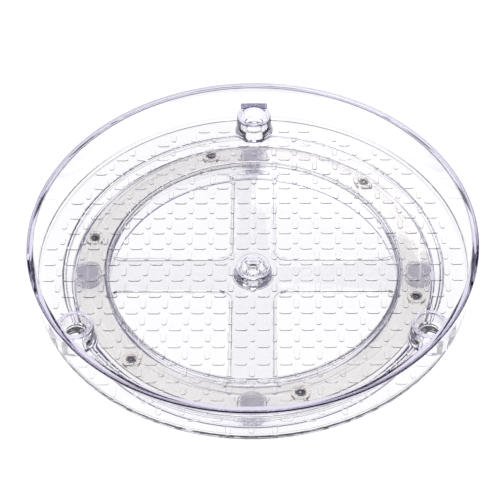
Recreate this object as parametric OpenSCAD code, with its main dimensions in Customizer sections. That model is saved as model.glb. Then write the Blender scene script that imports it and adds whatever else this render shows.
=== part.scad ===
// Turntable organiser ("lazy susan"): a clear walled tray that turns on six steel
// balls over a clear spoked base. Origin: centre of the footprint, on the table top.
// +Z up. Millimetres.

/* [Tray] */
// Outside diameter over the rim
tray_d = 300; // [296:1:316]
// Height of the rim above the tray floor
wall_h = 30.5; // [24:0.5:60]
// Thickness of the wall
wall_t = 2.6; // [2:0.1:3.4]
// Thickness of the tray floor
floor_t = 2.1; // [1.8:0.1:3]
// How far the rim lip stands out from the wall
lip_out = 2.0; // [1:0.1:3]
// Height of the rim lip
lip_h = 2.8; // [2:0.1:4]
// Outward lean of the wall between floor and lip
wall_lean = 0.9; // [0.3:0.1:1]
// Radius of the fillet where the floor meets the wall
floor_fillet = 4; // [2:0.5:6]
// Depth of the two round ribs under the floor
rib_h = 4; // [2:0.25:4.5]
// Thickness of the ribs under the floor
rib_t = 2.2; // [1.6:0.1:2.6]

/* [Leg sockets in the tray] */
// Bore of a socket, which takes the leg of an upper tier
socket_bore_d = 17.6; // [15:0.1:18.4]
// Height of a socket above the tray floor
socket_h = 14.6; // [10:0.1:16]
// Depth of the bore below the socket's mouth
socket_bore_l = 8.5; // [5:0.1:9]
// Hole through the seat at the bottom of the bore
socket_hole_d = 13.6; // [8:0.1:14]
// Diameter of a socket at its mouth
socket_top_d = 24.4; // [23:0.1:25]
// Diameter of a socket where it meets the floor
socket_foot_d = 26.8; // [26:0.1:28]
// Width of the block that joins a socket to the wall
socket_web_w = 19; // [10:0.5:22]

/* [Bearing] */
// Diameter of a bearing ball
ball_d = 6.35; // [5.5:0.05:6.6]
// Radius of the circle that the balls run on
track_r = 112.5; // [112:0.1:113]
// Clearance between a ball and its grooves
groove_gap = 0.2; // [0.1:0.05:0.3]
// Depth of the ball grooves
groove_depth = 0.275; // [0.2:0.025:0.5]
// Thickness of the flat part of the ball cage
cage_t = 1.6; // [1.2:0.1:1.8]
// Width of the flat part of the ball cage
cage_w = 18; // [16:0.5:18.5]
// Play of a ball in its pocket, across the diameter
pocket_play = 0.95; // [0.4:0.05:1.1]
// Outside diameter of the collar round a pocket
collar_d = 12.7; // [10:0.1:14]
// Height of that collar above the flat part
collar_h = 2.8; // [2:0.1:3]
// How far the cage sits inwards of the balls' circle
cage_shift = 1.9; // [1.5:0.1:2]

/* [Base] */
// Outside diameter of the base ring
base_d = 246.6; // [246:0.1:248]
// Inside diameter of the base ring
base_in_d = 195.3; // [192:0.1:196]
// Height of the base ring
base_h = 10; // [9:0.1:12]
// Thickness of the ring's top plate
web_t = 2.3; // [1.8:0.1:2.6]
// Thickness of the base's upright walls
skirt_t = 2.4; // [1.8:0.1:2.6]
// Width of a spoke over its two walls
spoke_w = 31.7; // [29:0.1:34]
// Height of the top of the spokes above the underside of the base
spoke_h = 6.6; // [5:0.1:6.8]
// Depth of the spokes over their walls
spoke_t = 2.8; // [2.4:0.1:4]
// Thickness of the spokes' and the hub's plate
plate_t = 1.6; // [1.4:0.1:1.8]
// Thickness of the walls along the spokes
spoke_wall = 2.1; // [1.6:0.1:2.6]
// Corner radius of the windows next to the hub
window_r = 8; // [4:0.5:10]
// Corner radius of the windows next to the ring
window_r_out = 5; // [3:0.5:6]

/* [Hub] */
// Diameter of the hub boss at its foot
boss_d = 26.6; // [25:0.1:28]
// Diameter of the hub boss at its top
boss_top_d = 24; // [23:0.1:24.8]
// Bore of the hub boss
boss_bore_d = 16.8; // [15:0.1:18]
// Radial running clearance of the tray's snap hub in the boss
hub_gap = 0.05; // [0.03:0.01:0.1]
// Wall of the snap hub
hub_t = 3.6; // [2.4:0.1:4]
// How far the snap barbs stand out
barb = 0.9; // [0.5:0.1:1.2]
// Width of the slots between the snap prongs
slot_w = 2.4; // [1.5:0.1:3.5]

/* [Feet] */
// Diameter of a foot pad
foot_d = 15.2; // [12:0.1:15.4]
// Height of the base above the table
foot_out = 1.2; // [0.8:0.1:2]
// Outside diameter of the collar that holds a foot
foot_collar_d = 18.4; // [17.6:0.1:20]
// Radius of the circle that the feet sit on
foot_r = 112.7; // [112:0.1:113]

/* [Hidden] */
$fn = 180;
e = 0.01;

// heights, from the table up
base_z = foot_out;                       // underside of the base
track_z = base_z + base_h;               // top of the base ring
web_z = track_z - web_t;                 // underside of the base ring's plate
spoke_z = base_z + spoke_h;              // top of the spokes
plate_z = spoke_z - plate_t;             // underside of the spokes' plate
spoke_b = spoke_z - spoke_t;             // underside of the spokes' walls
ball_r = ball_d / 2;
groove_r = ball_r + groove_gap;          // section radius of the grooves
ball_z = track_z - groove_depth + groove_r;
under_z = ball_z + groove_r - groove_depth;   // underside of the tray floor
floor_z = under_z + floor_t;             // top of the tray floor
rim_z = floor_z + wall_h;                // top of the rim

// radii
rim_r = tray_d / 2;
wall_r0 = rim_r - lip_out - wall_lean;   // outside of the wall at the floor
wall_r1 = rim_r - lip_out;               // outside of the wall under the lip
in_r0 = wall_r0 - wall_t;                // inside of the wall at the floor
in_r1 = wall_r1 - wall_t;                // inside of the wall at the rim
rib_in = 100.5;                          // outer face of the inner rib
rib_out = 126.4;                         // inner face of the outer rib
cage_in = track_r - cage_w / 2 - cage_shift;  // inner edge of the ball cage
ball_angles = [for (k = [0:5]) 166 - 60 * k];
socket_angles = [90, 210, 330];
socket_r = wall_r0 - socket_foot_d / 2 - 1.3; // centre of a socket

// the tray's wall, lip and floor, as a section on the +X side
module tray_section() {
    bottom_r = 2.2;                      // rounding of the outside bottom edge
    lip_r = lip_h / 2;                   // rounding of the lip's outside
    difference() {
        union() {
            translate([0, under_z]) square([wall_r0 - bottom_r, floor_t]);
            // wall
            polygon([[in_r0, under_z], [wall_r0 - bottom_r, under_z],
                     [wall_r0 - bottom_r, under_z + bottom_r],
                     [wall_r0, under_z + bottom_r],
                     [wall_r1, rim_z - lip_h], [wall_r1, rim_z - 0.7],
                     [in_r1 + 0.7, rim_z - 0.7], [in_r1, rim_z - 0.7], [in_r0, floor_z]]);
            translate([wall_r0 - bottom_r, under_z + bottom_r]) circle(bottom_r);
            // lip
            translate([wall_r1 - 1, rim_z - lip_h]) square([rim_r - wall_r1 + 1 - lip_r, lip_h]);
            translate([rim_r - lip_r, rim_z - lip_r]) circle(lip_r);
            // inner edge of the rim
            translate([in_r1 + 0.7, rim_z - 0.7]) circle(0.7);
            translate([in_r1 + 0.7, rim_z - 1]) square([wall_r1 - in_r1 - 1, 1]);
            // fillet between floor and wall
            difference() {
                translate([in_r0 - floor_fillet, floor_z - e]) square([floor_fillet + 0.4, floor_fillet]);
                translate([in_r0 - floor_fillet, floor_z + floor_fillet]) circle(floor_fillet);
            }
            // ribs under the floor
            translate([rib_in - rib_t, under_z - rib_h]) square([rib_t, rib_h + 1]);
            translate([rib_out, under_z - rib_h]) square([rib_t, rib_h + 1]);
        }
        // ball groove
        translate([track_r, ball_z]) circle(groove_r);
    }
}

// the snap hub under the middle of the floor, split into four prongs
module snap_hub() {
    r = boss_bore_d / 2 - hub_gap;
    barb_z = plate_z - 0.12;             // top of the barbs, under the hub plate
    difference() {
        rotate_extrude() union() {
            translate([r - hub_t, barb_z - 1.9]) square([hub_t, under_z + 1 - barb_z + 1.9]);
            polygon([[r - e, barb_z], [r + barb, barb_z], [r + barb, barb_z - 0.7], [r - 0.5, barb_z - 1.9], [r - 1, barb_z - 1.9]]);
            // thicker root
            polygon([[r - e, under_z + 1], [r + 2, under_z + 1], [r + 2, under_z - 0.35], [r, under_z - 0.7]]);
        }
        for (a = [45, 135]) rotate(a)
            translate([-30, -slot_w / 2, 0]) cube([60, slot_w, under_z - 4.2]);
    }
}

module tray() {
    color([0.93, 0.92, 0.98, 0.35])
    difference() {
        union() {
            rotate_extrude() tray_section();
            // socket bodies, cut back to the outside of the wall
            intersection() {
                for (a = socket_angles) rotate(a) translate([socket_r, 0, 0]) {
                    translate([0, 0, floor_z - 0.5])
                        cylinder(r1 = socket_foot_d / 2, r2 = socket_top_d / 2, h = socket_h + 0.5);
                    translate([0, 0, under_z + 0.4]) cylinder(r = socket_foot_d / 2, h = floor_t + 0.8);
                    translate([0, -socket_web_w / 2, under_z + 0.4])
                        cube([40, socket_web_w, floor_z + socket_h - under_z - 0.4]);
                }
                translate([0, 0, under_z]) cylinder(r = wall_r0 - 0.4, h = 100);
            }
            snap_hub();
        }
        for (a = socket_angles) rotate(a) translate([socket_r, 0, 0]) {
            translate([0, 0, floor_z + socket_h - socket_bore_l])
                cylinder(r = socket_bore_d / 2, h = socket_bore_l + 1);
            translate([0, 0, under_z - rib_h - 1]) cylinder(r = socket_hole_d / 2, h = 40);
        }
    }
}

// one window of the base, in the +X +Y quadrant: straight sides at distance d from
// the axes, outer radius ro, corner radius c at the hub and co at the ring
module window2d(d, ro, c, co) {
    cx = sqrt(pow(ro - co, 2) - pow(d + co, 2));
    k = ro / (ro - co);
    difference() {
        intersection() {
            translate([d, d]) square(ro);
            circle(ro);
        }
        // corner at the hub
        difference() {
            translate([d - 1, d - 1]) square(c + 1);
            translate([d + c, d + c]) circle(c);
        }
        // two corners at the ring
        for (m = [0, 1]) mirror([m, -m, 0]) difference() {
            polygon([[cx, d + co], [cx, d - 2], [ro + 6, d - 2], [cx * (k + 0.06), (d + co) * (k + 0.06)]]);
            translate([cx, d + co]) circle(co);
        }
    }
}

module window(d, ro, c, co, z0, z1) {
    for (q = [0:3]) rotate(90 * q)
        translate([0, 0, z0]) linear_extrude(z1 - z0) window2d(d, ro, c, co);
}

module base() {
    half = spoke_w / 2;
    ri = base_in_d / 2;
    ro = base_d / 2;
    color([0.94, 0.93, 0.98, 0.35])
    difference() {
        union() {
            // ring: plate, outer and inner skirts
            difference() {
                translate([0, 0, base_z]) cylinder(r = ro, h = base_h);
                translate([0, 0, base_z - 1]) cylinder(r = ro - skirt_t, h = web_z - base_z + 1);
                translate([0, 0, web_z - 1]) cylinder(r = ri, h = 30);
            }
            difference() {
                translate([0, 0, base_z]) cylinder(r = ri + skirt_t, h = web_z - base_z + e);
                translate([0, 0, base_z - 1]) cylinder(r = ri, h = 30);
            }
            // spokes and hub plate with their walls
            difference() {
                translate([0, 0, spoke_b]) cylinder(r = ri + 1, h = spoke_t);
                window(half, ri, window_r, window_r_out, spoke_b - 1, spoke_z + 1);
                // hollow under the plate
                difference() {
                    translate([0, 0, spoke_b - 1]) cylinder(r = ri, h = plate_z - spoke_b + 1);
                    window(half - spoke_wall, ri + spoke_wall, window_r + spoke_wall, window_r_out + spoke_wall, spoke_b - 2, plate_z + 1);
                    translate([0, 0, spoke_b - 2]) cylinder(r = boss_d / 2, h = plate_z - spoke_b + 3);
                }
            }
            // hub boss
            translate([0, 0, spoke_z - 0.5]) cylinder(r = boss_d / 2, h = 0.5 + 1.2);
            translate([0, 0, spoke_z + 1.2 - e])
                cylinder(r1 = boss_d / 2, r2 = boss_top_d / 2, h = under_z - 2.1 - spoke_z - 1.2 + e);
            // collars for the feet
            for (a = [0, 90, 180, 270]) rotate(a) translate([foot_r, 0, base_z])
                cylinder(r = foot_collar_d / 2, h = web_z - base_z + 0.5);
        }
        // hub bore and the pocket for the barbs
        translate([0, 0, base_z - 2]) cylinder(r = boss_bore_d / 2, h = 40);
        translate([0, 0, base_z - 2]) cylinder(r = boss_bore_d / 2 + barb + 0.5, h = plate_z - base_z + 2);
        // sockets for the feet
        for (a = [0, 90, 180, 270]) rotate(a) translate([foot_r, 0, base_z - 1])
            cylinder(r = foot_d / 2 + 0.05, h = web_z - base_z + 1);
        // ball groove
        rotate_extrude() translate([track_r, ball_z]) circle(groove_r);
    }
}

module ball_cage() {
    z0 = track_z + 0.5;
    color([0.95, 0.93, 0.90, 0.8])
    difference() {
        union() {
            rotate_extrude() translate([cage_in, z0]) square([cage_w, cage_t]);
            for (a = ball_angles) rotate(a) translate([track_r, 0, z0])
                cylinder(r = collar_d / 2, h = cage_t + collar_h);
        }
        for (a = ball_angles) rotate(a) translate([track_r, 0, z0 - 1])
            cylinder(r = (ball_d + pocket_play) / 2, h = 10);
    }
}

module ball(k) {
    color([0.45, 0.46, 0.52])
    rotate(ball_angles[k - 1]) translate([track_r, 0, ball_z]) sphere(ball_r);
}

module foot(a) {
    color([0.72, 0.71, 0.78])
    rotate(a) translate([foot_r, 0, 0]) rotate_extrude() union() {
        square([foot_d / 2 - 1, web_z]);
        translate([0, 1]) square([foot_d / 2, web_z - 1]);
        translate([foot_d / 2 - 1, 1]) circle(1);
    }
}

tray();
base();
ball_cage();
ball(1);  // ball_1
ball(2);  // ball_2
ball(3);  // ball_3
ball(4);  // ball_4
ball(5);  // ball_5
ball(6);  // ball_6
foot(0);  // foot_right
foot(90);  // foot_back
foot(180);  // foot_left
foot(270);  // foot_front
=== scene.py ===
import bpy, bmesh, math
from mathutils import Vector, Matrix


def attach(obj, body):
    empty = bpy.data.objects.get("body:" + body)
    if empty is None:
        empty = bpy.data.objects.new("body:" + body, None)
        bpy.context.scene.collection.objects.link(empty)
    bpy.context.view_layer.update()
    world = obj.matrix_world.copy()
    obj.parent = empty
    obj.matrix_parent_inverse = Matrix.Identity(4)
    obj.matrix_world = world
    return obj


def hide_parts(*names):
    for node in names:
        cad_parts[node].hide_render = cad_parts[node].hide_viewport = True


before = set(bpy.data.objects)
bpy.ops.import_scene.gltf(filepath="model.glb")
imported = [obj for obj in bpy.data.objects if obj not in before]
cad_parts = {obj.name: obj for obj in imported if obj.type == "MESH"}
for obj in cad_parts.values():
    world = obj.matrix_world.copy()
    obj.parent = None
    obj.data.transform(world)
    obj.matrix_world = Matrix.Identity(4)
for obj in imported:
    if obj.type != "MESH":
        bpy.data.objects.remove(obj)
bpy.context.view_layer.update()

scene = bpy.context.scene
N = 360                      # segments round the big circles

# ---------------------------------------------------------------- dimensions (mm), as in the CAD source
BASE_Z, TRACK_Z, WEB_Z = 1.2, 11.2, 8.9
SPOKE_Z, PLATE_Z, SPOKE_B = 7.8, 6.2, 5.0
BALL_R, BALL_Z, GROOVE_R, TRACK_R = 3.175, 14.3, 3.375, 112.5
UNDER_Z, FLOOR_Z, RIM_Z = 17.4, 19.5, 50.0
SOCK_R, SOCK_H = 132.4, 14.6
SOCK_ANGLES = (90, 210, 330)
BALL_ANGLES = tuple(166 - 60 * k for k in range(6))
PITCH = 14.5                 # grid of the anti-slip dashes


def pol(r, a, z=0.0):
    return (r * math.cos(math.radians(a)), r * math.sin(math.radians(a)), z)


# ---------------------------------------------------------------- mesh building
def new_obj(name, verts, faces):
    me = bpy.data.meshes.new(name)
    me.from_pydata([(x * 1e-3, y * 1e-3, z * 1e-3) for x, y, z in verts], [], faces)
    me.validate()
    ob = bpy.data.objects.new(name, me)
    scene.collection.objects.link(ob)
    bm = bmesh.new()
    bm.from_mesh(me)
    bmesh.ops.recalc_face_normals(bm, faces=bm.faces)
    bm.to_mesh(me)
    bm.free()
    return ob


def arc(cx, cz, r, a0, a1, n):
    return [(cx + r * math.cos(math.radians(a0 + (a1 - a0) * i / n)),
             cz + r * math.sin(math.radians(a0 + (a1 - a0) * i / n))) for i in range(n + 1)]


def tidy(pts):
    out = []
    for p in pts:
        if not out or math.hypot(p[0] - out[-1][0], p[1] - out[-1][1]) > 1e-4:
            out.append(p)
    if math.hypot(out[0][0] - out[-1][0], out[0][1] - out[-1][1]) < 1e-4:
        out.pop()
    return out


def lathe(name, prof, n=N, at=(0, 0), start=0.0):
    """Turns a closed section (r, z) about a vertical axis. Points with r = 0 become one vertex."""
    prof = tidy(prof)
    verts, index = [], []
    for r, z in prof:
        if r < 1e-6:
            index.append([len(verts)] * n)
            verts.append((at[0], at[1], z))
        else:
            row = []
            for i in range(n):
                t = start + 2 * math.pi * i / n
                row.append(len(verts))
                verts.append((at[0] + r * math.cos(t), at[1] + r * math.sin(t), z))
            index.append(row)
    faces = []
    m = len(prof)
    for k in range(m):
        a, b = index[k], index[(k + 1) % m]
        if a[0] == a[-1] and b[0] == b[-1]:
            continue
        for i in range(n):
            j = (i + 1) % n
            f = []
            for v in (a[i], a[j], b[j], b[i]):
                if v not in f:
                    f.append(v)
            if len(f) > 2:
                faces.append(f)
    return new_obj(name, verts, faces)


def loft(name, loops):
    """Closed solid through loops of 3-D points, with flat ends."""
    n = len(loops[0])
    verts = [p for lp in loops for p in lp]
    faces = []
    for k in range(len(loops) - 1):
        for i in range(n):
            j = (i + 1) % n
            faces.append([k * n + i, k * n + j, (k + 1) * n + j, (k + 1) * n + i])
    faces.append(list(range(n)))
    faces.append(list(range((len(loops) - 1) * n, len(loops) * n)))
    return new_obj(name, verts, faces)


def box_solid(name, lo, hi, turn=0.0):
    c, s = math.cos(math.radians(turn)), math.sin(math.radians(turn))
    pts = [(lo[0], lo[1]), (hi[0], lo[1]), (hi[0], hi[1]), (lo[0], hi[1])]
    pts = [(x * c - y * s, x * s + y * c) for x, y in pts]
    return loft(name, [[(x, y, lo[2]) for x, y in pts], [(x, y, hi[2]) for x, y in pts]])


def rounded_block(name, x0, x1, half, z0, z1, r, at, turn):
    """Block along a radius, its two top edges rounded."""
    sec = [(-half, z0), (half, z0)] + arc(half - r, z1 - r, r, 0, 90, 4) + arc(-half + r, z1 - r, r, 90, 180, 4)
    c, s = math.cos(math.radians(turn)), math.sin(math.radians(turn))
    return loft(name, [[(at[0] + x * c - y * s, at[1] + x * s + y * c, z) for y, z in sec] for x in (x0, x1)])


def join(name, obs):
    verts, faces = [], []
    for o in obs:
        k = len(verts)
        verts += [tuple(v.co * 1e3) for v in o.data.vertices]
        faces += [[k + i for i in p.vertices] for p in o.data.polygons]
        me = o.data
        bpy.data.objects.remove(o)
        bpy.data.meshes.remove(me)
    me = bpy.data.meshes.new(name)
    me.from_pydata([(x * 1e-3, y * 1e-3, z * 1e-3) for x, y, z in verts], [], faces)
    ob = bpy.data.objects.new(name, me)
    scene.collection.objects.link(ob)
    return ob


def cut(a, b, how="DIFFERENCE"):
    """Boolean of a with b, applied to a; b is removed."""
    mod = a.modifiers.new("b", "BOOLEAN")
    mod.operation = how
    mod.solver = "MANIFOLD"
    mod.object = b
    dg = bpy.context.evaluated_depsgraph_get()
    dg.update()
    me = bpy.data.meshes.new_from_object(a.evaluated_get(dg), preserve_all_data_layers=False, depsgraph=dg)
    if len(me.polygons) == 0 or (how == "DIFFERENCE" and len(me.polygons) == len(a.data.polygons)):
        print("BOOLEAN suspicious:", a.name, b.name, how, len(me.polygons))
    a.modifiers.clear()
    old = a.data
    a.data = me
    bpy.data.meshes.remove(old)
    om = b.data
    bpy.data.objects.remove(b)
    bpy.data.meshes.remove(om)
    return a


def finish_mesh(ob, mat, sharp=32):
    """Smooth shading with sharp edges by angle, and face-weighted normals so that flats stay flat."""
    me = ob.data
    bm = bmesh.new()
    bm.from_mesh(me)
    bmesh.ops.remove_doubles(bm, verts=bm.verts, dist=2e-7)
    bmesh.ops.dissolve_degenerate(bm, edges=bm.edges, dist=2e-7)
    lim = math.radians(sharp)
    for f in bm.faces:
        f.smooth = True
    for e in bm.edges:
        e.smooth = not (len(e.link_faces) == 2 and e.calc_face_angle(0.0) > lim)
    open_edges = sum(1 for e in bm.edges if len(e.link_faces) != 2)
    bm.to_mesh(me)
    bm.free()
    me.materials.clear()
    me.materials.append(mat)
    w = ob.modifiers.new("w", "WEIGHTED_NORMAL")
    w.mode = "FACE_AREA_WITH_ANGLE"
    w.keep_sharp = True
    w.weight = 100
    dg = bpy.context.evaluated_depsgraph_get()
    dg.update()
    done = bpy.data.meshes.new_from_object(ob.evaluated_get(dg), preserve_all_data_layers=True, depsgraph=dg)
    ob.modifiers.clear()
    ob.data = done
    bpy.data.meshes.remove(me)
    done.name = ob.name
    print("piece", ob.name, "faces", len(done.polygons), "open edges", open_edges)
    return ob


# ---------------------------------------------------------------- materials
def mat_new(name):
    m = bpy.data.materials.new(name)
    m.use_nodes = True
    nt = m.node_tree
    return m, nt, nt.nodes["Principled BSDF"], nt.nodes["Material Output"]


def noise(nt, scale, detail=2.0, rough=0.5, coord=None):
    if coord is None:
        tc = nt.nodes.new("ShaderNodeTexCoord")
        coord = tc.outputs["Object"]
    n = nt.nodes.new("ShaderNodeTexNoise")
    n.inputs["Scale"].default_value = scale
    n.inputs["Detail"].default_value = detail
    n.inputs["Roughness"].default_value = rough
    nt.links.new(coord, n.inputs["Vector"])
    return n


def ramp(nt, fac, stops):
    r = nt.nodes.new("ShaderNodeValToRGB")
    el = r.color_ramp.elements
    while len(el) > 1:
        el.remove(el[-1])
    el[0].position, el[0].color = stops[0][0], (*stops[0][1], 1)
    for pos, col in stops[1:]:
        e = el.new(pos)
        e.color = (*col, 1)
    nt.links.new(fac, r.inputs["Fac"])
    return r


def clear_plastic(name, tint_a, tint_b, absorb, density, ior, lip=None):
    m, nt, b, out = mat_new(name)
    # moulded clear plastic: faint flow marks in colour, gloss and surface
    n1 = noise(nt, 18.0, 2.0, 0.5)
    c = ramp(nt, n1.outputs["Fac"], [(0.3, tint_a), (0.7, tint_b)])
    nt.links.new(c.outputs["Color"], b.inputs["Base Color"])
    n2 = noise(nt, 60.0, 3.0, 0.6)
    mr = nt.nodes.new("ShaderNodeMapRange")
    mr.inputs["From Min"].default_value = 0.35
    mr.inputs["From Max"].default_value = 0.65
    mr.inputs["To Min"].default_value = 0.006
    mr.inputs["To Max"].default_value = 0.028
    nt.links.new(n2.outputs["Fac"], mr.inputs["Value"])
    nt.links.new(mr.outputs["Result"], b.inputs["Roughness"])
    n3 = noise(nt, 34.0, 1.0, 0.4)
    bp = nt.nodes.new("ShaderNodeBump")
    bp.inputs["Strength"].default_value = 0.05
    bp.inputs["Distance"].default_value = 0.0004
    nt.links.new(n3.outputs["Fac"], bp.inputs["Height"])
    nt.links.new(bp.outputs["Normal"], b.inputs["Normal"])
    b.inputs["Transmission Weight"].default_value = 1.0
    b.inputs["IOR"].default_value = ior
    b.inputs["Metallic"].default_value = 0.0
    va = nt.nodes.new("ShaderNodeVolumeAbsorption")
    va.inputs["Color"].default_value = (*absorb, 1)
    va.inputs["Density"].default_value = density
    if lip:                                    # wall and rolled lip: the wall's slightly denser tint is the resin's own, the very dense rolled lip is painted shade that darkens it into a dark edge line
        tc = nt.nodes.new("ShaderNodeTexCoord")
        flat = nt.nodes.new("ShaderNodeVectorMath")
        flat.operation = "MULTIPLY"
        flat.inputs[1].default_value = (1.0, 1.0, 0.0)
        nt.links.new(tc.outputs["Object"], flat.inputs[0])
        ln = nt.nodes.new("ShaderNodeVectorMath")
        ln.operation = "LENGTH"
        nt.links.new(flat.outputs["Vector"], ln.inputs[0])
        total = va.inputs["Density"]
        for r0, r1, d0, d1 in lip:
            zr = nt.nodes.new("ShaderNodeMapRange")
            zr.inputs["From Min"].default_value = r0 * 1e-3
            zr.inputs["From Max"].default_value = r1 * 1e-3
            zr.inputs["To Min"].default_value = d0
            zr.inputs["To Max"].default_value = d1
            nt.links.new(ln.outputs["Value"], zr.inputs["Value"])
            ad = nt.nodes.new("ShaderNodeMath")
            ad.operation = "ADD"
            ad.inputs[1].default_value = 0.0
            nt.links.new(zr.outputs["Result"], ad.inputs[0])
            nt.links.new(ad.outputs["Value"], total)
            total = ad.inputs[1]
        # painted shade: very dense absorption darkens the sockets' mouths, inside the wall
        sp = nt.nodes.new("ShaderNodeSeparateXYZ")
        nt.links.new(tc.outputs["Object"], sp.inputs["Vector"])
        up = nt.nodes.new("ShaderNodeMapRange")
        up.inputs["From Min"].default_value = 0.0318
        up.inputs["From Max"].default_value = 0.0326
        up.inputs["To Min"].default_value = 0.0
        up.inputs["To Max"].default_value = 140.0
        nt.links.new(sp.outputs["Z"], up.inputs["Value"])
        inn = nt.nodes.new("ShaderNodeMapRange")
        inn.inputs["From Min"].default_value = 0.1444
        inn.inputs["From Max"].default_value = 0.1450
        inn.inputs["To Min"].default_value = 1.0
        inn.inputs["To Max"].default_value = 0.0
        nt.links.new(ln.outputs["Value"], inn.inputs["Value"])
        mu = nt.nodes.new("ShaderNodeMath")
        mu.operation = "MULTIPLY"
        nt.links.new(up.outputs["Result"], mu.inputs[0])
        nt.links.new(inn.outputs["Result"], mu.inputs[1])
        nt.links.new(mu.outputs["Value"], total)
    nt.links.new(va.outputs["Volume"], out.inputs["Volume"])
    return m


def cage_material():
    m, nt, b, out = mat_new("cage_natural_plastic")
    n1 = noise(nt, 26.0, 3.0, 0.55)
    c = ramp(nt, n1.outputs["Fac"], [(0.3, (0.955, 0.945, 0.93)), (0.7, (0.985, 0.975, 0.96))])
    nt.links.new(c.outputs["Color"], b.inputs["Base Color"])
    n2 = noise(nt, 900.0, 2.0, 0.6)
    mr = nt.nodes.new("ShaderNodeMapRange")
    mr.inputs["To Min"].default_value = 0.0
    mr.inputs["To Max"].default_value = 0.02
    nt.links.new(n2.outputs["Fac"], mr.inputs["Value"])
    nt.links.new(mr.outputs["Result"], b.inputs["Roughness"])
    bp = nt.nodes.new("ShaderNodeBump")
    bp.inputs["Strength"].default_value = 0.04
    bp.inputs["Distance"].default_value = 0.0001
    nt.links.new(n2.outputs["Fac"], bp.inputs["Height"])
    nt.links.new(bp.outputs["Normal"], b.inputs["Normal"])
    b.inputs["Transmission Weight"].default_value = 0.95
    b.inputs["IOR"].default_value = 1.5
    va = nt.nodes.new("ShaderNodeVolumeAbsorption")
    va.inputs["Color"].default_value = (0.80, 0.72, 0.62, 1)
    va.inputs["Density"].default_value = 80.0
    nt.links.new(va.outputs["Volume"], out.inputs["Volume"])
    return m


def steel_material():
    m, nt, b, out = mat_new("bearing_steel_polished")
    n1 = noise(nt, 240.0, 3.0, 0.6)
    # steel's own grey, darkened further as painted shade standing in for the dark reflections in the ball pockets
    c = ramp(nt, n1.outputs["Fac"], [(0.35, (0.24, 0.235, 0.265)), (0.65, (0.33, 0.325, 0.36))])
    nt.links.new(c.outputs["Color"], b.inputs["Base Color"])
    n2 = noise(nt, 700.0, 2.0, 0.5)
    mr = nt.nodes.new("ShaderNodeMapRange")
    mr.inputs["To Min"].default_value = 0.12
    mr.inputs["To Max"].default_value = 0.20
    nt.links.new(n2.outputs["Fac"], mr.inputs["Value"])
    nt.links.new(mr.outputs["Result"], b.inputs["Roughness"])
    b.inputs["Metallic"].default_value = 1.0
    return m


def foot_material():
    m, nt, b, out = mat_new("foot_grey_silicone")
    n1 = noise(nt, 150.0, 3.0, 0.6)
    c = ramp(nt, n1.outputs["Fac"], [(0.3, (0.32, 0.305, 0.39)), (0.7, (0.39, 0.375, 0.46))])
    nt.links.new(c.outputs["Color"], b.inputs["Base Color"])
    n2 = noise(nt, 1500.0, 2.0, 0.6)
    mr = nt.nodes.new("ShaderNodeMapRange")
    mr.inputs["To Min"].default_value = 0.5
    mr.inputs["To Max"].default_value = 0.72
    nt.links.new(n2.outputs["Fac"], mr.inputs["Value"])
    nt.links.new(mr.outputs["Result"], b.inputs["Roughness"])
    bp = nt.nodes.new("ShaderNodeBump")
    bp.inputs["Strength"].default_value = 0.2
    bp.inputs["Distance"].default_value = 0.0001
    nt.links.new(n2.outputs["Fac"], bp.inputs["Height"])
    nt.links.new(bp.outputs["Normal"], b.inputs["Normal"])
    b.inputs["Subsurface Weight"].default_value = 0.25
    b.inputs["Subsurface Radius"].default_value = (0.003, 0.003, 0.0034)
    b.inputs["Subsurface Scale"].default_value = 1.0
    return m


# tray absorption by radius: the wall's extra tint is the resin's own, the dense rolled lip and sockets' mouths are
# painted shade
CLEAR_TRAY = clear_plastic("clear_tray_plastic", (0.996, 0.995, 0.999), (1.0, 1.0, 1.0), (0.50, 0.41, 0.72), 9.0, 1.57, ((144.6, 145.2, 9.0, 13.0), (147.9, 148.3, 0.0, 240.0)))
CLEAR_BASE = clear_plastic("clear_base_plastic", (0.996, 0.995, 0.999), (1.0, 1.0, 1.0), (0.48, 0.34, 0.86), 9.0, 1.57)
CAGE = cage_material()
STEEL = steel_material()
SILICONE = foot_material()

# ---------------------------------------------------------------- tray
def tray_profile():
    p = [(0, UNDER_Z)]
    def rib(r0, r1):
        z = UNDER_Z - 4.0
        q = (r1 - r0) / 2
        return ([(r0 - 0.8, UNDER_Z)] + arc(r0 - 0.8, UNDER_Z - 0.8, 0.8, 90, 0, 5) + arc(r0 + q, z + q, q, 180, 360, 16)
                + arc(r1 + 0.8, UNDER_Z - 0.8, 0.8, 180, 90, 5))
    p += rib(98.3, 100.5)
    half = math.sqrt(GROOVE_R ** 2 - (UNDER_Z - BALL_Z) ** 2)
    a = math.degrees(math.atan2(UNDER_Z - BALL_Z, half))
    p += arc(TRACK_R, BALL_Z, GROOVE_R, 180 - a, a, 8)
    p += rib(126.4, 128.6)
    p += arc(144.9, 19.6, 2.2, -90, 0, 7)
    p += [(148.0 - 0.02, 46.4)] + arc(148.9, 46.3, 0.9, 180, 90, 4)          # cove under the lip
    p += arc(148.3, 48.3, 1.7, -75, 90, 18)
    p += arc(145.65, 49.75, 0.25, 90, 180, 4)
    p += arc(140.6, 23.5, 4.0, 0, -90, 10)
    p += [(0, FLOOR_Z)]
    return p


def stadium(cx, cy, lx, ly, z, n=7):
    """Round-ended slot outline, long in x or y."""
    r = min(lx, ly) / 2
    h = max(lx, ly) / 2 - r
    pts = []
    for s in (0, 1):
        for i in range(n + 1):
            t = math.pi * (i / n) - math.pi / 2 + s * math.pi
            pts.append(((h if s == 0 else -h) + r * math.cos(t), r * math.sin(t)))
    if ly > lx:
        pts = [(-y, x) for x, y in pts]
    return [(cx + x, cy + y, z) for x, y in pts]


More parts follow.
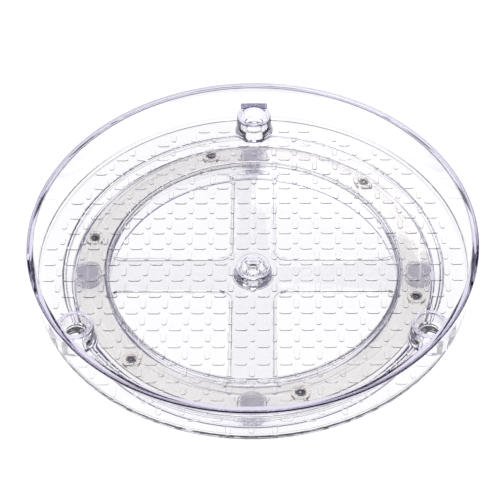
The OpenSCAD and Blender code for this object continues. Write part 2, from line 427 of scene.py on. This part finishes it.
def dashes():
    obs = []
    k = 10
    for i in range(-k, k + 1):
        for j in range(-k, k + 1):
            for kind in "VH":
                x, y = (i * PITCH, (j + 0.5) * PITCH) if kind == "V" else ((i + 0.5) * PITCH, j * PITCH)
                r = math.hypot(x, y)
                if r > 9.62 * PITCH or r < 0.95 * PITCH:
                    continue
                if any(math.hypot(x - pol(SOCK_R, a)[0], y - pol(SOCK_R, a)[1]) < 17.2 for a in SOCK_ANGLES):
                    continue
                L, W = 8.2, 3.5
                lx, ly = (W, L) if kind == "V" else (L, W)
                rings = [(0.0, -0.35), (0.0, 0.0), (0.06, 0.20), (0.20, 0.36), (0.42, 0.44), (0.75, 0.48)]
                obs.append(loft("d", [stadium(x, y, lx - 2 * q, ly - 2 * q, FLOOR_Z + z) for q, z in rings]))
    print("dashes", len(obs))
    return join("dashes", obs)


def make_tray():
    t = lathe("tray_body", tray_profile())
    for a in SOCK_ANGLES:
        c = pol(SOCK_R, a)[:2]
        zt = FLOOR_Z + SOCK_H
        # body: drafted tube with a small flange at its foot and a rounded mouth
        prof = ([(0, UNDER_Z + 0.6), (15.0, UNDER_Z + 0.6), (15.0, FLOOR_Z)] + arc(15.1, FLOOR_Z + 2.2, 2.2, 270, 180, 6)
                + [(12.15, zt - 1.5)] + arc(10.65, zt - 1.5, 1.5, 0, 90, 8) + [(0, zt)])
        s = lathe("s", prof, 144, c)
        s = cut(s, rounded_block("web", 0, 24, 9.5, UNDER_Z + 0.6, zt, 0.8, c, a), "UNION")
        lim = lathe("lim", [(0, UNDER_Z + 0.2), (146.4, UNDER_Z + 0.2), (147.0, 40), (0, 40)], N)
        s = cut(s, lim, "INTERSECT")
        t = cut(t, s, "UNION")
    d = dashes()
    t = cut(t, d, "UNION")
    # snap hub: four prongs round a split tube
    ri, ro = 4.75, 8.35
    bz = PLATE_Z - 0.12
    hub = lathe("hub", [(ri, UNDER_Z + 0.5), (ri, bz - 1.5), (ri + 0.4, bz - 1.9), (ro - 0.5, bz - 1.9), (ro + 0.9, bz - 0.7), (ro + 0.9, bz), (ro, bz),
                        (ro, UNDER_Z - 0.9)] + arc(ro + 2.0, UNDER_Z - 0.3, 0.3, -90, 0, 2) + [(ro + 2.3, UNDER_Z + 0.5)], 144)
    for a in (45, 135):
        hub = cut(hub, box_solid("slot", (-30, -1.2, 0), (30, 1.2, UNDER_Z - 4.2), a))
    t = cut(t, hub, "UNION")
    for a in SOCK_ANGLES:
        c = pol(SOCK_R, a)[:2]
        zt = FLOOR_Z + SOCK_H
        zb = zt - 8.5
        bore = lathe("bore", [(0, 5)] + [(6.8, 5), (6.8, zb - 0.4), (7.2, zb)] + [(8.8, zb), (8.8, zt - 0.5)] + [(9.3, zt), (9.3, zt + 2), (0, zt + 2)], 144, c)
        t = cut(t, bore)
    return t


tray = make_tray()
tray.name = "tray_moulding"
finish_mesh(tray, CLEAR_TRAY)
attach(tray, "tray_body"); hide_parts("tray")


# ---------------------------------------------------------------- base
def window_loop(d, ro, c, co, off, z, quad):
    """Outline of one window, grown by off all round. Point count doesn't depend on off."""
    pts = []
    C = d + c
    for i in range(13):                                    # hub corner
        t = math.radians(180 + 90 * i / 12)
        pts.append((C + (c + off) * math.cos(t), C + (c + off) * math.sin(t)))
    k = d + co
    cx = math.sqrt((ro - co) ** 2 - k * k)
    a1 = math.degrees(math.atan2(k, cx))
    for i in range(11):                                    # ring corner on the +X side
        t = math.radians(-90 + (90 + a1) * i / 10)
        pts.append((cx + (co + off) * math.cos(t), k + (co + off) * math.sin(t)))
    for i in range(1, 60):                                 # ring side
        t = math.radians(a1 + (90 - 2 * a1) * i / 60)
        pts.append(((ro + off) * math.cos(t), (ro + off) * math.sin(t)))
    for i in range(11):                                    # ring corner on the +Y side
        t = math.radians(90 - a1 + (90 + a1) * i / 10)
        pts.append((k + (co + off) * math.cos(t), cx + (co + off) * math.sin(t)))
    q = math.radians(90 * quad)
    return [(x * math.cos(q) - y * math.sin(q), x * math.sin(q) + y * math.cos(q), z) for x, y in pts]


def windows(name, rings, d=15.85, ro=97.65, c=8.0, co=5.0):
    return join(name, [loft("w", [window_loop(d, ro, c, co, off, z, q) for off, z in rings]) for q in range(4)])


def make_base():
    ri, ro, t = 97.65, 123.3, 2.4
    # ring: outer skirt, plate, inner skirt
    q = t / 2
    prof = (arc(ro - 1.2, TRACK_Z - 1.2, 1.2, 90, 0, 8) + arc(ro - q, BASE_Z + q, q, 0, -180, 16)
            + arc(ro - t - 0.9, WEB_Z - 0.9, 0.9, 0, 90, 5) + arc(ri + t + 0.9, WEB_Z - 0.9, 0.9, 90, 180, 5)
            + arc(ri + q, BASE_Z + q, q, 0, -180, 16)
            + arc(ri + 1.2, TRACK_Z - 1.2, 1.2, 180, 90, 8))
    half = math.sqrt(GROOVE_R ** 2 - (BALL_Z - TRACK_Z) ** 2)
    a = math.degrees(math.atan2(BALL_Z - TRACK_Z, half))
    prof += arc(TRACK_R, BALL_Z, GROOVE_R, 180 + a, 360 - a, 8)
    b = lathe("base_body", prof)
    # spoked disc with its walls
    disc = lathe("disc", [(0, SPOKE_B), (ri + 1.0, SPOKE_B), (ri + 1.0, SPOKE_Z), (0, SPOKE_Z)])
    disc = cut(disc, windows("win", [(0.9, SPOKE_B - 1), (0.9, SPOKE_B), (0.45, SPOKE_B + 0.12), (0.12, SPOKE_B + 0.45), (0.0, SPOKE_B + 0.9), (0.0, SPOKE_Z - 1.1), (0.08, SPOKE_Z - 0.68), (0.32, SPOKE_Z - 0.32), (0.68, SPOKE_Z - 0.08), (1.1, SPOKE_Z), (1.1, SPOKE_Z + 1)]))
    hol = lathe("hol", [(0, 0), (ri - 0.05, 0), (ri - 0.05, PLATE_Z), (0, PLATE_Z)])
    hol = cut(hol, windows("win2", [(1.7, -1), (1.7, SPOKE_B), (2.1, SPOKE_B + 0.3), (2.1, PLATE_Z + 1)]))
    core = lathe("core", [(0, -1), (13.3, -1), (13.3, PLATE_Z + 1), (0, PLATE_Z + 1)], 144)
    hol = cut(hol, core)
    disc = cut(disc, hol)
    b = cut(b, disc, "UNION")
    # hub boss, with a fillet at its foot and a rounded mouth
    boss = lathe("boss", [(0, SPOKE_Z - 1), (14.9, SPOKE_Z - 1), (14.9, SPOKE_Z)] + arc(14.95, SPOKE_Z + 1.7, 1.7, 270, 180, 6)
                 + [(12.1, 13.8)] + arc(10.6, 13.8, 1.5, 0, 90, 8) + [(0, 15.3)], 192)
    b = cut(b, boss, "UNION")
    for a in (0, 90, 180, 270):
        c = pol(112.7, a)[:2]
        b = cut(b, lathe("col", [(0, BASE_Z)] + arc(8.7, BASE_Z + 0.7, 0.7, -90, 0, 6) + arc(10.1, WEB_Z - 0.9, 0.9, 180, 90, 6) + [(10.1, WEB_Z + 0.5), (0, WEB_Z + 0.5)], 96, c), "UNION")
    b = cut(b, lathe("bore", [(0, -5), (9.8, -5), (9.8, PLATE_Z), (8.4, PLATE_Z), (8.4, 14.8), (8.9, 15.3), (8.9, 18), (0, 18)], 192))
    for a in (0, 90, 180, 270):
        c = pol(112.7, a)[:2]
        b = cut(b, lathe("pkt", [(0, -5), (7.85, -5), (7.85, BASE_Z), (7.65, BASE_Z + 0.2), (7.65, WEB_Z), (0, WEB_Z)], 96, c))
    # round ejector marks under the spokes
    for x, y in ((-67, 8.5), (67, 8.5), (36, 2.0)):
        b = cut(b, lathe("ej", [(0, PLATE_Z - 2), (4.0, PLATE_Z - 2), (4.0, PLATE_Z + 0.2), (3.8, PLATE_Z + 0.3), (0, PLATE_Z + 0.3)], 64, (x, y)))
    return b


base = make_base()
base.name = "base_moulding"
finish_mesh(base, CLEAR_BASE)
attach(base, "base_body"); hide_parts("base")


# ---------------------------------------------------------------- ball cage
def make_cage():
    r0, r1, z0, z1 = 101.6, 119.6, 11.7, 13.3
    prof = (arc(r0 + 0.4, z0 + 0.4, 0.4, 270, 180, 3) + arc(r0 + 0.4, z1 - 0.4, 0.4, 180, 90, 3)
            + arc(r1 - 0.4, z1 - 0.4, 0.4, 90, 0, 3) + arc(r1 - 0.4, z0 + 0.4, 0.4, 0, -90, 3))
    g = lathe("cage_body", prof)
    for a in BALL_ANGLES:
        c = pol(TRACK_R, a)[:2]
        g = cut(g, lathe("c", [(0, z0), (6.35, z0), (6.35, z1)] + arc(6.35 - 0.35, z1 + 2.45, 0.35, 0, 90, 4) + [(0, z1 + 2.8)], 96, c), "UNION")
    for a in BALL_ANGLES:
        c = pol(TRACK_R, a)[:2]
        g = cut(g, lathe("p", [(0, 5), (3.65, 5), (3.65, z1 + 2.55), (3.9, z1 + 2.8), (3.9, 20), (0, 20)], 96, c))
    return g


cage = make_cage()
cage.name = "ball_cage_ring"
finish_mesh(cage, CAGE)
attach(cage, "cage_body"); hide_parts("ball_cage")

# ---------------------------------------------------------------- balls and feet
for i, a in enumerate(BALL_ANGLES, 1):
    c = pol(TRACK_R, a)
    bm = bmesh.new()
    bmesh.ops.create_icosphere(bm, subdivisions=4, radius=BALL_R * 1e-3, matrix=Matrix.Translation((c[0] * 1e-3, c[1] * 1e-3, BALL_Z * 1e-3)))
    me = bpy.data.meshes.new(f"steel_ball_{i}")
    bm.to_mesh(me)
    bm.free()
    for p in me.polygons:
        p.use_smooth = True
    me.materials.append(STEEL)
    o = bpy.data.objects.new(f"steel_ball_{i}", me)
    scene.collection.objects.link(o)
    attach(o, f"ball_{i}_body"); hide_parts(f"ball_{i}")

for nm, a in (("right", 0), ("back", 90), ("left", 180), ("front", 270)):
    c = pol(112.7, a)[:2]
    prof = ([(0, 0.25), (4.6, 0.25)] + arc(5.2, 0.25, 0.25, 180, 270, 3) + [(5.4, 0)] + arc(7.6 - 1.0, 1.0, 1.0, -90, 0, 6) + [(7.6, WEB_Z - 0.1), (7.5, WEB_Z - 0.02), (0, WEB_Z - 0.02)])
    o = lathe(f"foot_pad_{nm}", prof, 96, c)
    finish_mesh(o, SILICONE, 40)
    o.visible_shadow = False
    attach(o, "base_body"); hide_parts(f"foot_{nm}")

# clear plastic casts next to no shadow: soft light reaches the floor and the cage through it
for o in (tray, base, cage):
    o.visible_diffuse = False
    o.visible_shadow = False

# ---------------------------------------------------------------- floor, light, camera
def floor():
    n, r = 96, 4.3
    me = bpy.data.meshes.new("floor")
    me.from_pydata([(r * math.cos(2 * math.pi * i / n), r * math.sin(2 * math.pi * i / n), -0.0002) for i in range(n)], [], [list(range(n))])
    o = bpy.data.objects.new("floor", me)
    scene.collection.objects.link(o)
    m, nt, b, out = mat_new("floor_pale")
    n1 = noise(nt, 3.0, 2.0)
    c = ramp(nt, n1.outputs["Fac"], [(0.3, (0.86, 0.86, 0.87)), (0.7, (0.88, 0.88, 0.885))])
    nt.links.new(c.outputs["Color"], b.inputs["Base Color"])
    b.inputs["Roughness"].default_value = 0.9
    b.inputs["Specular IOR Level"].default_value = 0.1
    me.materials.append(m)
    return o


floor()


def glow(name, stops, axis, reach, mesh):
    """Stage piece with a soft gradient, which only gloss and the clear plastic see."""
    o = bpy.data.objects.new(name, mesh)
    scene.collection.objects.link(o)
    m = bpy.data.materials.new(name)
    m.use_nodes = True
    nt = m.node_tree
    nt.nodes.clear()
    out = nt.nodes.new("ShaderNodeOutputMaterial")
    em = nt.nodes.new("ShaderNodeEmission")
    tc = nt.nodes.new("ShaderNodeTexCoord")
    mr = nt.nodes.new("ShaderNodeMapRange")
    mr.inputs["From Max"].default_value = reach
    if axis == "Z":
        sp = nt.nodes.new("ShaderNodeSeparateXYZ")
        nt.links.new(tc.outputs["Object"], sp.inputs["Vector"])
        nt.links.new(sp.outputs["Z"], mr.inputs["Value"])
    else:
        ln = nt.nodes.new("ShaderNodeVectorMath")
        ln.operation = "LENGTH"
        nt.links.new(tc.outputs["Object"], ln.inputs[0])
        nt.links.new(ln.outputs["Value"], mr.inputs["Value"])
    c = ramp(nt, mr.outputs["Result"], stops)
    nt.links.new(c.outputs["Color"], em.inputs["Color"])
    nt.links.new(em.outputs["Emission"], out.inputs["Surface"])
    mesh.materials.append(m)
    o.visible_camera = False
    o.visible_diffuse = False
    o.visible_shadow = False
    o.visible_volume_scatter = False
    return o


def surround():
    """Bright-field set-up for clear plastic: a white sheet under the object, a violet-grey tent round it."""
    n, m_, r = 64, 16, 4.2
    vs = [(r * math.cos(2 * math.pi * i / n) * math.cos(math.pi / 2 * k / m_), r * math.sin(2 * math.pi * i / n) * math.cos(math.pi / 2 * k / m_), r * math.sin(math.pi / 2 * k / m_)) for k in range(m_) for i in range(n)] + [(0, 0, r)]
    fs = [[k * n + i, k * n + (i + 1) % n, (k + 1) * n + (i + 1) % n, (k + 1) * n + i] for k in range(m_ - 1) for i in range(n)]
    fs += [[(m_ - 1) * n + i, (m_ - 1) * n + (i + 1) % n, m_ * n] for i in range(n)]
    me = bpy.data.meshes.new("tent")
    me.from_pydata(vs, [], fs)
    glow("tent", TENT, "Z", r, me)
    radii = (0.197, 0.3, 0.8, 1.6, 4.25)
    me = bpy.data.meshes.new("sheet_surround")
    me.from_pydata([(q * math.cos(2 * math.pi * i / 96), q * math.sin(2 * math.pi * i / 96), 0.0) for q in radii for i in range(96)], [],
                   [[k * 96 + i, k * 96 + (i + 1) % 96, (k + 1) * 96 + (i + 1) % 96, (k + 1) * 96 + i] for k in range(len(radii) - 1) for i in range(96)])
    glow("sheet_surround", SHEET, "R", 1.0, me)


    # painted contact shadows: dark rings on the sheet under the skirts' feet
    for nm, q0, q1, col in (("painted_shadow_outer", 122.5, 123.4, (0.10, 0.07, 0.18)), ("painted_shadow_inner", 98.0, 98.9, (0.25, 0.22, 0.36))):
        me = bpy.data.meshes.new(nm)
        me.from_pydata([(q * 1e-3 * math.cos(2 * math.pi * i / 256), q * 1e-3 * math.sin(2 * math.pi * i / 256), 0.0001) for q in (q0, q1) for i in range(256)], [],
                       [[i, (i + 1) % 256, 256 + (i + 1) % 256, 256 + i] for i in range(256)])
        glow(nm, [(0.0, col), (1.0, col)], "R", 1.0, me)
    # softbox, high over the front
    for k, (el_, half_, gain) in enumerate(((72, 0.25, 5.0),)):
        d = Vector((0.0, -math.cos(math.radians(el_)), math.sin(math.radians(el_))))
        x, y = Vector((1, 0, 0)), d.cross(Vector((1, 0, 0)))
        me = bpy.data.meshes.new(f"softbox_{k}")
        me.from_pydata([tuple(d * (1.6 + 0.05 * k) + x * sx * half_ + y * sy * half_) for sx, sy in ((-1, -1), (1, -1), (1, 1), (-1, 1))], [], [[0, 1, 2, 3]])
        glow(f"softbox_{k}", [(0.0, (gain, gain, gain)), (1.0, (gain, gain, gain))], "R", 1.0, me)


TENT = [(0.0, (0.012, 0.006, 0.04)), (0.4, (0.02, 0.012, 0.06)), (0.65, (0.05, 0.04, 0.10)), (0.85, (0.11, 0.10, 0.16)), (1.0, (0.20, 0.19, 0.26))]
SHEET = [(0.197, (1.0, 1.0, 1.0)), (0.30, (0.97, 0.965, 0.98)), (0.42, (0.74, 0.72, 0.80)), (0.60, (0.22, 0.19, 0.32)), (0.95, (0.03, 0.02, 0.07))]
surround()

w = bpy.data.worlds.new("studio")
scene.world = w
w.use_nodes = True
nt = w.node_tree
bg = nt.nodes["Background"]
tc = nt.nodes.new("ShaderNodeTexCoord")
sp = nt.nodes.new("ShaderNodeSeparateXYZ")
nt.links.new(tc.outputs["Generated"], sp.inputs["Vector"])
rp = ramp(nt, sp.outputs["Z"], [(0.0, (0.90, 0.90, 0.92)), (0.25, (0.97, 0.97, 0.98)), (0.6, (1.0, 1.0, 1.0)), (1.0, (1.0, 1.0, 1.0))])
nt.links.new(rp.outputs["Color"], bg.inputs["Color"])
bg.inputs["Strength"].default_value = 1.16


def area(name, loc, size, power, aim=(0, 0, 0.02)):
    l = bpy.data.lights.new(name, "AREA")
    l.shape = "RECTANGLE"
    l.size, l.size_y = size
    l.energy = power
    o = bpy.data.objects.new(name, l)
    o.location = loc
    o.rotation_mode = "QUATERNION"
    o.rotation_quaternion = (Vector(aim) - Vector(loc)).to_track_quat("-Z", "Y")
    scene.collection.objects.link(o)
    return o


area("key", (-0.9, -0.5, 1.5), (0.9, 0.6), 3.0)
area("back", (0.5, 1.4, 1.2), (1.0, 0.5), 3.0)

# camera fitted to the photo
f_px, D, ox, oy = 1717.9, 80.22, -0.127, 0.632
el, az, roll = math.radians(47.06), math.radians(1.1432), math.radians(1.0004)
P = PITCH * 1e-3
r_ = Vector((math.cos(az), math.sin(az), 0))
h_ = Vector((-math.sin(az), math.cos(az), 0))
z_ = Vector((0, 0, 1))
u_ = h_ * math.sin(el) + z_ * math.cos(el)
b_ = -h_ * math.cos(el) + z_ * math.sin(el)
org = Vector((0, 0, FLOOR_Z * 1e-3))
pos = org + (r_ * ox + u_ * oy + b_ * D) * P
cr = r_ * math.cos(roll) - u_ * math.sin(roll)
cu = r_ * math.sin(roll) + u_ * math.cos(roll)
cam = bpy.data.cameras.new("camera")
cam.sensor_width = 36.0
cam.lens = f_px / 500 * 36.0
cam.clip_start, cam.clip_end = 0.01, 50
co = bpy.data.objects.new("camera", cam)
co.matrix_world = Matrix(((cr.x, cu.x, b_.x, pos.x), (cr.y, cu.y, b_.y, pos.y), (cr.z, cu.z, b_.z, pos.z), (0, 0, 0, 1)))
scene.collection.objects.link(co)
scene.camera = co

scene.view_settings.view_transform = "Standard"
scene.cycles.max_bounces = 24
scene.cycles.transmission_bounces = 24
scene.cycles.glossy_bounces = 8
scene.cycles.diffuse_bounces = 4
scene.cycles.transparent_max_bounces = 24
scene.cycles.caustics_refractive = True
scene.cycles.caustics_reflective = True
scene.cycles.sample_clamp_indirect = 6.0
